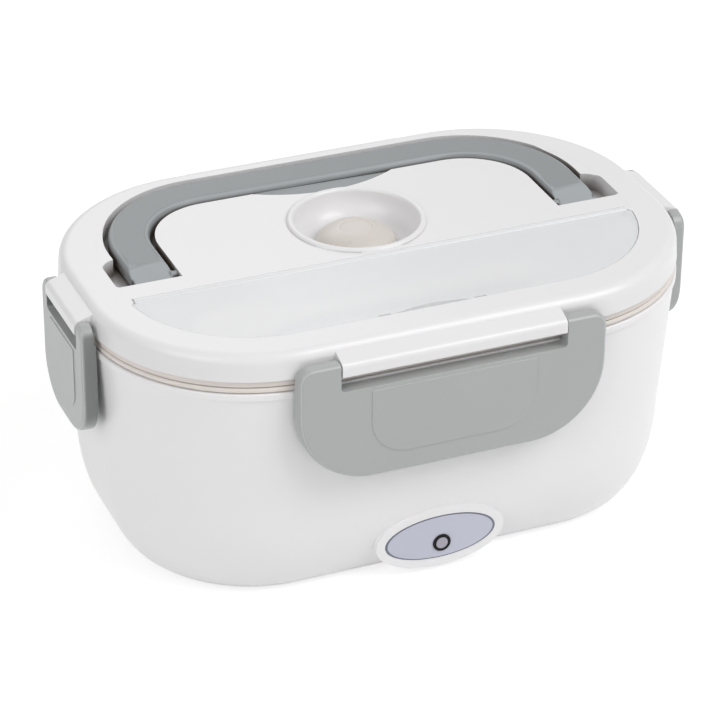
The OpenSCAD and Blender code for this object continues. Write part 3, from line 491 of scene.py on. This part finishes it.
# %% Changes of colour
def recolour(slot, change):
    """Replaces a finish's base colour: change(tree, old socket) returns the new socket."""
    tree = MATERIALS[slot].node_tree
    target = tree.nodes["Principled BSDF"].inputs["Base Color"]
    tree.links.new(change(tree, target.links[0].from_socket), target)


def painted_edge_light(slot, **values):
    """Paints a highlight on the rounded edges of a finish, and shade on the left latch's side wall.
    """
    def brighter(tree, colour):
        node = scaled_colour(tree, place_group(tree, EDGE_LIGHT, **values))
        tree.links.new(colour, node.inputs[0])
        return node.outputs[0]
    recolour(slot, brighter)


def tint_where_zero(slot, tint, group, **values):
    """Turns a finish to the colour tint where the group's mask is 0."""
    def tinted(tree, colour):
        node = tree.nodes.new("ShaderNodeMix")
        node.data_type = "RGBA"
        sockets = {s.identifier: s for s in node.inputs}
        sockets["A_Color"].default_value = tint
        tree.links.new(place_group(tree, group, **values), sockets["Factor_Float"])
        tree.links.new(colour, sockets["B_Color"])
        return next(s for s in node.outputs if s.identifier == "Result_Color")
    recolour(slot, tinted)


# %% [markdown]
# The white pieces are smooth, glossy mouldings. The lid is the smoothest, so it has no grain at
# all, and it carries painted shade deep in the handle groove. The inner well and the trays are
# duller.

# %% White and beige plastic
# Colour of the painted shade deep in the handle groove, which fades out towards the back.
LID_GROOVE_SHADE = linear(96, 82, 68)
GROOVE_SHADE_BACK_Y = 0.05

plastic("shell_plastic", "white_shell", (239, 238, 239), 0.30, grain=0.002, spread=0.006,
        polish=0.03)
plastic("lid_plastic", "white_lid", (233, 232, 233), 0.28, grain=0, spread=0.006, polish=0)
# Painted shade: the lid turns brown deep in the handle groove.
tint_where_zero("lid_plastic", LID_GROOVE_SHADE, GROOVE_SHADE, Back=GROOVE_SHADE_BACK_Y)
plastic("well_plastic", "well_white", (226, 226, 226), 0.4)
plastic("tray_plastic", "tray_beige", (228, 221, 215), 0.38)
plastic("spoon_plastic", "ivory_spoon", (250, 242, 238), 0.3)
print("white finishes", sorted(MATERIALS))

# %% [markdown]
# Silicone lets light in under its skin, which a plain surface can't show. A thin Translucent
# layer would do for a sheet, but these pieces are thick, so Subsurface is used. The vent plug is
# milky and the gasket firmer, so light goes further in the plug.

# %% Silicone
SKIN = (1, 0.9, 0.8)


def soft_inside(shader, weight, reach):
    """Light scatters under the skin, as far as reach in millimetres."""
    shader.inputs["Subsurface Weight"].default_value = weight
    shader.inputs["Subsurface Radius"].default_value = SKIN
    shader.inputs["Subsurface Scale"].default_value = reach * MM


gasket = plastic("gasket_silicone", "gasket_silicone", (222, 214, 209), 0.45)
soft_inside(gasket, weight=0.15, reach=2)
plug = plastic("plug_silicone", "milky_silicone", (214, 208, 202), 0.28, grain=0.002, polish=0.04)
soft_inside(plug, weight=0.5, reach=4)
print("silicone", MATERIALS["gasket_silicone"].name, MATERIALS["plug_silicone"].name)

# %% [markdown]
# The cover of the cutlery compartment is frosted, so the spoon only just shows through.
# Transmission would bend the light as a real sheet does, but it is noisy in one so thin. Alpha
# lets a fixed share of the light straight through. Along the hinge the cover is a thick bead,
# which is denser.

# %% Cover
COVER_ALPHA = 0.62
BEAD_ALPHA = 0.8
BEAD_Y = -15.2 * MM
BEAD_RAMP = 2 * MM


def clear_except_bead(tree, shader):
    """Lets light through the cover, except along its hinge bead, behind BEAD_Y."""
    spread = tree.nodes.new("ShaderNodeMapRange")
    spread.inputs["From Min"].default_value = BEAD_Y - BEAD_RAMP
    spread.inputs["From Max"].default_value = BEAD_Y
    spread.inputs["To Min"].default_value = COVER_ALPHA
    spread.inputs["To Max"].default_value = BEAD_ALPHA
    tree.links.new(coordinate(tree, "Object")["Y"], spread.inputs["Value"])
    tree.links.new(spread.outputs["Result"], shader.inputs["Alpha"])


cover = plastic("cover_plastic", "frosted_cover", (252, 253, 254), 0.22, grain=0.002)
clear_except_bead(MATERIALS["cover_plastic"].node_tree, cover)
print("cover alpha", COVER_ALPHA, "bead", BEAD_ALPHA)

# %% [markdown]
# The handle is a darker grey than the latches, and both get a painted highlight along their
# rounded edges. The sloping ends of the handle's legs get a painted highlight all over, and are
# found by their slope. Painted shade darkens the handle where it sits deep in its groove.

# %% Grey plastic
# Colour of the painted shade where the handle sits deep in its groove.
HANDLE_GAP_SHADE = linear(84, 76, 66)
LEG_END_SLOPE = 0.945
LEG_END_REACH = 0.03

plastic("handle_plastic", "handle_grey", (138, 142, 144), 0.38, grain=0.002, spread=0.01,
        polish=0.04)
# Painted highlights: along the rounded edges, and over the sloping leg ends.
painted_edge_light("handle_plastic", Gain=0.5, Upright=1)
painted_edge_light("handle_plastic", Gain=0.42, Upright=1, Turn=LEG_END_SLOPE, Reach=LEG_END_REACH)
# Painted shade: brown where the handle sits deep in the groove.
tint_where_zero("handle_plastic", HANDLE_GAP_SHADE, GROOVE_SHADE)
plastic("latch_plastic", "latch_grey", (172, 175, 174), 0.3, grain=0.002, spread=0.01, polish=0.04)
# Painted highlight on the latch edges, and painted shade on the left latch's front-facing side
# wall.
painted_edge_light("latch_plastic", Gain=0.3, Dull=0.52)
print("grey", MATERIALS["handle_plastic"].name, MATERIALS["latch_plastic"].name)

# %% [markdown]
# The badge plate is a pale lavender with a printed line, and it carries the indicator: a black
# bezel that hardly shines round a clear, shiny lens.

# %% Badge and indicator
BADGE_HALF = (21.2 * MM, 8.6 * MM)
BADGE_Z = 14.2 * MM
BADGE_INK = linear(112, 118, 134)

plastic("badge_finish", "badge_lavender", (196, 197, 212), 0.34, grain=0.002, spread=0.03)
tint_where_zero("badge_finish", BADGE_INK, BORDER, Half_Width=BADGE_HALF[0],
                Half_Height=BADGE_HALF[1], Middle=BADGE_Z)
bezel = plastic("bezel_plastic", "bezel_black", (10, 10, 14), 0.4)
bezel.inputs["Specular IOR Level"].default_value = 0.2
lens = plastic("lens_plastic", "indicator_lens", (166, 161, 174), 0.12, grain=0.002)
lens.inputs["Coat Weight"].default_value = 0.4
print("badge half size", [round(v / MM, 1) for v in BADGE_HALF], "mm")

# %% [markdown]
# What is under the well and in the socket shows only from below or behind, but each piece still
# gets its own finish: black socket, grey rubber feet, amber lamp, green board, brown thermostat,
# red leads.

# %% Hidden plastics
plastic("inlet_plastic", "inlet_black", (38, 38, 40), 0.45, grain=0.04)
plastic("foot_rubber", "foot_rubber", (130, 130, 130), 0.7, grain=0.05)
plastic("lamp_resin", "lamp_resin", (214, 170, 90), 0.15)
plastic("board_laminate", "board_laminate", (60, 120, 80), 0.4)
plastic("sensor_body", "sensor_body", (96, 62, 44), 0.5)
plastic("wire_insulation", "wire_insulation", (176, 46, 38), 0.5)
print("plastic finishes", len(MATERIALS))

# %% [markdown]
# The metal pieces are hidden too, or deep in the socket. Brushed sheet has fine lines along one
# direction: the grain is noise again, stretched by a Mapping node, and metal takes its colour
# from the reflection.

# %% Metal
BRUSH_STRETCH = (1, 40, 1)
BRUSH_SIZE = 90
BRUSH_DETAIL = 4
BRUSH_DEPTH = 0.01 * MM
BRUSH_SPREAD = 0.3


def brushed_metal(name, screen, roughness):
    """Metal with fine lines along X, for the slot of the same name."""
    material, tree, shader = new_material(name)
    nodes, links = tree.nodes, tree.links
    shader.inputs["Metallic"].default_value = 1
    shader.inputs["Base Color"].default_value = linear(*screen)
    mapping = nodes.new("ShaderNodeMapping")
    mapping.inputs["Scale"].default_value = BRUSH_STRETCH
    links.new(nodes.new("ShaderNodeTexCoord").outputs["Object"], mapping.inputs["Vector"])
    noise = nodes.new("ShaderNodeTexNoise")
    noise.inputs["Scale"].default_value = BRUSH_SIZE
    noise.inputs["Detail"].default_value = BRUSH_DETAIL
    links.new(mapping.outputs["Vector"], noise.inputs["Vector"])
    spread = nodes.new("ShaderNodeMapRange")
    spread.inputs["To Min"].default_value = roughness * (1 - BRUSH_SPREAD)
    spread.inputs["To Max"].default_value = roughness * (1 + BRUSH_SPREAD)
    links.new(noise.outputs["Fac"], spread.inputs["Value"])
    links.new(spread.outputs["Result"], shader.inputs["Roughness"])
    bump = nodes.new("ShaderNodeBump")
    bump.inputs["Distance"].default_value = BRUSH_DEPTH
    links.new(noise.outputs["Fac"], bump.inputs["Height"])
    links.new(bump.outputs["Normal"], shader.inputs["Normal"])
    MATERIALS[name] = material


brushed_metal("heater_aluminium", (214, 215, 218), 0.32)
brushed_metal("heater_block", (120, 120, 124), 0.5)
brushed_metal("spring_steel", (196, 197, 200), 0.3)
brushed_metal("pin_metal", (224, 220, 210), 0.22)
print("finishes", len(MATERIALS))

# %% [markdown]
# Every CAD node keeps its shape and place and takes the finish of its slot. The slots are read
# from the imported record, so a node can't be missed.

# %% Finishes on the CAD nodes
SLOT_OF = {row["node"]: row["material_slot"] for row in frame["record"]["subparts"]}
for name, node in frame["nodes"].items():
    node.data.materials.clear()
    node.data.materials.append(MATERIALS[SLOT_OF[name]])
print("painted", len(SLOT_OF))

# %% [markdown]
# A moulded edge is never sharp: the tool maker gives it a radius, and that radius is what catches
# the light. The CAD edges are crisp, so the pieces that show are copied, their triangles merged
# and dissolved back into flat faces, and a Bevel modifier rounds every edge that turns sharply.
# The copy then stands for the node.

# %% Merged copies
DOUBLES = 1e-6
FLAT_TURN = math.radians(0.05)


def nothing_selected():
    """Leaves edit mode and deselects every object."""
    if bpy.context.object and bpy.context.object.mode != "OBJECT":
        bpy.ops.object.mode_set(mode="OBJECT")
    bpy.ops.object.select_all(action="DESELECT")


def make_active(piece):
    """Selects this piece only, for the operators that follow."""
    nothing_selected()
    piece.select_set(True)
    bpy.context.view_layer.objects.active = piece


def copy_of(node, name):
    """A merged copy of a CAD node's mesh, with flat areas made into single faces."""
    mesh = frame["nodes"][node].data.copy()
    piece = bpy.data.objects.new(name, mesh)
    scene.collection.objects.link(piece)
    make_active(piece)
    bpy.ops.object.mode_set(mode="EDIT")
    bpy.ops.mesh.select_all(action="SELECT")
    bpy.ops.mesh.remove_doubles(threshold=DOUBLES)
    bpy.ops.mesh.dissolve_limited(angle_limit=FLAT_TURN)
    bpy.ops.mesh.select_all(action="DESELECT")
    bpy.ops.object.mode_set(mode="OBJECT")
    return piece


# %% [markdown]
# Smooth shading alone would bend the light across the large flat faces. A Weighted Normal
# modifier gives each corner the normal of its largest faces, so only the roundings look round.

# %% Rounding and shading
def apply_modifier(piece, modifier):
    """Makes a modifier's result the piece's own mesh."""
    make_active(piece)
    bpy.ops.object.modifier_apply(modifier=modifier.name)


def round_edges(piece, width, turn=30, steps=2, clamp=True):
    """Rounds edges that turn by more than turn degrees, width in millimetres."""
    bevel = piece.modifiers.new("edge", "BEVEL")
    bevel.width = width * MM
    bevel.segments = steps
    bevel.limit_method = "ANGLE"
    bevel.angle_limit = math.radians(turn)
    bevel.use_clamp_overlap = clamp
    apply_modifier(piece, bevel)


def shade(piece, turn=35):
    """Smooth shading that keeps edges above turn degrees and leaves large faces even."""
    make_active(piece)
    bpy.ops.object.shade_smooth_by_angle(angle=math.radians(turn))
    even = piece.modifiers.new("even", "WEIGHTED_NORMAL")
    even.keep_sharp = True
    apply_modifier(piece, even)
    print(piece.name, len(piece.data.polygons), "faces")


# %% [markdown]
# The handle gets the widest rounding, because hands hold it. Its bevel isn't clamped, or the
# short edges of its curve would keep it thin. The latches have curved noses made of small facets,
# so only edges that turn by more than 60 degrees are rounded there.

# %% Rounded pieces
def stands_for(piece, node):
    """The piece rides where the node rides, hides it and takes its finish."""
    slot = SLOT_OF[node]
    piece.data.materials.clear()
    piece.data.materials.append(MATERIALS[slot])
    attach(piece, frame["nodes"][node]["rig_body"])
    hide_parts(node)


def rounded(node, name, width, smooth=35, **edge):
    """A copy of a node with rounded edges, which stands for it."""
    piece = copy_of(node, name)
    round_edges(piece, width, **edge)
    shade(piece, smooth)
    stands_for(piece, node)


rounded("lid_shell", "lid_moulding", 0.35)
rounded("handle", "handle_moulding", 0.5, turn=40, steps=3, clamp=False)
for side in ("front", "back", "left", "right"):
    rounded("latch_" + side, side + "_latch_moulding", 0.3, turn=60, smooth=50)
rounded("cutlery_cover", "clear_cover", 0.35)
rounded("outer_shell", "base_moulding", 0.25)

# %% [markdown]
# Between lid and base runs a soft lip of the gasket. It follows the outline of the lid, which is
# a rectangle with very round corners. A curve with a bevel could follow it too. Here a circle is
# pulled apart into four corners, drawn up into a strip and given its thickness by Solidify.

# %% Outline strip
LID_HALF = (110.8 * MM, 71.8 * MM)
LID_CORNER = 59.5 * MM
STRIP_CORNERS = 128


def outline_strip(name, inset, low, height):
    """An upright strip along the lid outline, inset from it, from z low."""
    nothing_selected()
    bpy.ops.mesh.primitive_circle_add(vertices=STRIP_CORNERS, radius=LID_CORNER - inset,
                                      location=(0, 0, 0), rotation=(0, 0, math.pi / STRIP_CORNERS))
    strip = bpy.context.object
    strip.name = name
    bpy.ops.object.transform_apply(location=False, rotation=True, scale=False)
    for axis in (0, 1):
        for side in (-1, 1):
            bpy.ops.object.mode_set(mode="EDIT")
            bpy.ops.mesh.select_all(action="DESELECT")
            bpy.ops.object.mode_set(mode="OBJECT")
            for vertex in strip.data.vertices:
                vertex.select = vertex.co[axis] * side > 0
            bpy.ops.object.mode_set(mode="EDIT")
            step = [0, 0, 0]
            step[axis] = side * (LID_HALF[axis] - LID_CORNER)
            bpy.ops.transform.translate(value=step)
    bpy.ops.mesh.select_all(action="SELECT")
    bpy.ops.transform.translate(value=(0, 0, low))
    bpy.ops.mesh.extrude_region_move(TRANSFORM_OT_translate={"value": (0, 0, height)})
    bpy.ops.mesh.select_all(action="SELECT")
    bpy.ops.mesh.normals_make_consistent(inside=False)
    bpy.ops.object.mode_set(mode="OBJECT")
    return strip


# %% [markdown]
# The lip hangs from the lid and stops just above the rim of the tray. Its rounded edges leave a
# fine dark line above and below, which makes the seam read as two soft bands.

# %% Gasket lip
LIP_INSET = 0.75 * MM
LIP_LOW = 90.95 * MM
LIP_HEIGHT = 2.1 * MM
LIP_WALL = 1.8 * MM

lip = outline_strip("gasket_lip", LIP_INSET, LIP_LOW, LIP_HEIGHT)
wall = lip.modifiers.new("wall", "SOLIDIFY")
wall.thickness = LIP_WALL
wall.offset = -1
apply_modifier(lip, wall)
round_edges(lip, 0.4, turn=60, steps=3)
shade(lip)
lip.data.materials.append(MATERIALS["gasket_silicone"])
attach(lip, "lid")
print("lip size", [round(v / MM, 1) for v in lip.dimensions], "mm")

# %% [markdown]
# The vent plug is a soft silicone dome with a flat, slightly dished top and a stem through the
# lid. It could be spun from a profile. A flattened sphere gives the same dome in two cuts: one at
# the floor of the bowl and one at the flat top. The top is inset and pushed in, and the stem is
# drawn out of the floor face.

# %% Vent plug
DOME_SEGMENTS = 72
DOME_RINGS = 48
VENT_Y = 12.2 * MM
BOWL_FLOOR = 93.3 * MM
DOME_RADIUS = 15 * MM
DOME_HEIGHT = 7.6 * MM
DOME_CUT = 6.8 * MM
STEM_RADIUS = 3 * MM
STEM_LENGTH = 3.8 * MM
TOP_RIM = 0.5 * MM
TOP_SLOPE = 0.4 * MM
TOP_DISH = 0.35 * MM


def dome_plug(name):
    """A silicone dome cut flat, with a dished top and a stem below."""
    nothing_selected()
    bpy.ops.mesh.primitive_uv_sphere_add(segments=DOME_SEGMENTS, ring_count=DOME_RINGS,
                                         radius=DOME_RADIUS, location=(0, 0, 0))
    plug = bpy.context.object
    plug.name = name
    bpy.ops.object.mode_set(mode="EDIT")
    bpy.ops.transform.resize(value=(1, 1, DOME_HEIGHT / DOME_RADIUS), center_override=(0, 0, 0))
    bpy.ops.mesh.bisect(plane_co=(0, 0, 0), plane_no=(0, 0, 1), use_fill=True, clear_inner=True)
    bpy.ops.mesh.inset(thickness=DOME_RADIUS - STEM_RADIUS)
    bpy.ops.mesh.extrude_region_move(TRANSFORM_OT_translate={"value": (0, 0, -STEM_LENGTH)})
    bpy.ops.mesh.select_all(action="SELECT")
    bpy.ops.mesh.bisect(plane_co=(0, 0, DOME_CUT), plane_no=(0, 0, 1), use_fill=True,
                        clear_outer=True)
    bpy.ops.mesh.inset(thickness=TOP_RIM)
    bpy.ops.mesh.inset(thickness=TOP_SLOPE)
    bpy.ops.transform.translate(value=(0, 0, -TOP_DISH))
    bpy.ops.mesh.select_all(action="SELECT")
    bpy.ops.transform.translate(value=(0, VENT_Y, BOWL_FLOOR))
    bpy.ops.mesh.normals_make_consistent(inside=False)
    bpy.ops.object.mode_set(mode="OBJECT")
    return plug


plug_piece = dome_plug("vent_plug_dome")
round_edges(plug_piece, 0.15, turn=40)
shade(plug_piece, 40)
stands_for(plug_piece, "vent_plug")

# %% [markdown]
# Last, a helper gives a box as plain lists of numbers.

# %% Sizes
def plain(box):
    """A box as plain lists of numbers."""
    return [[float(v) for v in corner] for corner in box]
